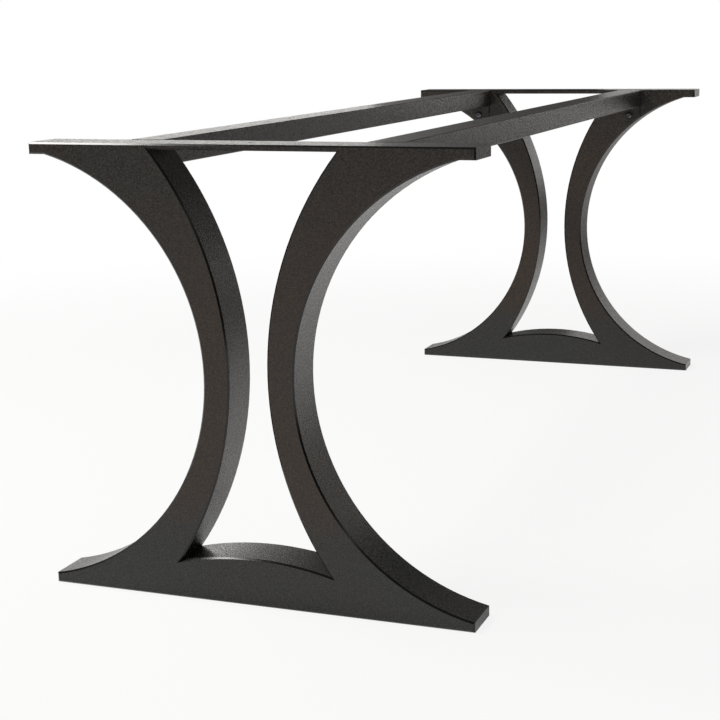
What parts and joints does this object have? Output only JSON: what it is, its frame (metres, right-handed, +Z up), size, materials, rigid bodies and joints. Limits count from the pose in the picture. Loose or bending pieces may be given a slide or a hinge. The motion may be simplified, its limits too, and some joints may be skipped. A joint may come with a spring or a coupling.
{
  "type": "metal table base",
  "caption": "Welded steel dining table base: hollow hourglass end frames with a curved open centre, joined by box-section rails bolted on under the top.",
  "frame": {"origin": "on the floor, under the middle of the base, half way between the end frames", "axes": "+X along the table from the near frame to the far frame, +Y across the table to the left seen from the near end, +Z up"},
  "size_m": [1.935, 0.716, 0.711],
  "materials": {
    "powder_coat": "fine-texture satin black powder coat",
    "fastener_black": "black zinc plated"
  },
  "bodies": {
    "root": {"far_foot_plate": "powder_coat", "far_inner_face": "powder_coat", "far_left_bolt": "fastener_black", "far_left_flange": "powder_coat", "far_left_foot_cap": "powder_coat", "far_left_leg_strip": "powder_coat", "far_left_tip_cap": "powder_coat", "far_left_washer": "fastener_black", "far_left_weld_nut": "fastener_black", "far_left_window_strip": "powder_coat", "far_outer_face": "powder_coat", "far_right_bolt": "fastener_black", "far_right_flange": "powder_coat", "far_right_foot_cap": "powder_coat", "far_right_leg_strip": "powder_coat", "far_right_tip_cap": "powder_coat", "far_right_washer": "fastener_black", "far_right_weld_nut": "fastener_black", "far_right_window_strip": "powder_coat", "far_top_plate": "powder_coat", "far_window_bar": "powder_coat", "far_window_sill": "powder_coat", "left_rail": "powder_coat", "near_foot_plate": "powder_coat", "near_inner_face": "powder_coat", "near_left_bolt": "fastener_black", "near_left_flange": "powder_coat", "near_left_foot_cap": "powder_coat", "near_left_leg_strip": "powder_coat", "near_left_tip_cap": "powder_coat", "near_left_washer": "fastener_black", "near_left_weld_nut": "fastener_black", "near_left_window_strip": "powder_coat", "near_outer_face": "powder_coat", "near_right_bolt": "fastener_black", "near_right_flange": "powder_coat", "near_right_foot_cap": "powder_coat", "near_right_leg_strip": "powder_coat", "near_right_tip_cap": "powder_coat", "near_right_washer": "fastener_black", "near_right_weld_nut": "fastener_black", "near_right_window_strip": "powder_coat", "near_top_plate": "powder_coat", "near_window_bar": "powder_coat", "near_window_sill": "powder_coat", "right_rail": "powder_coat"}
  },
  "joints": []
}
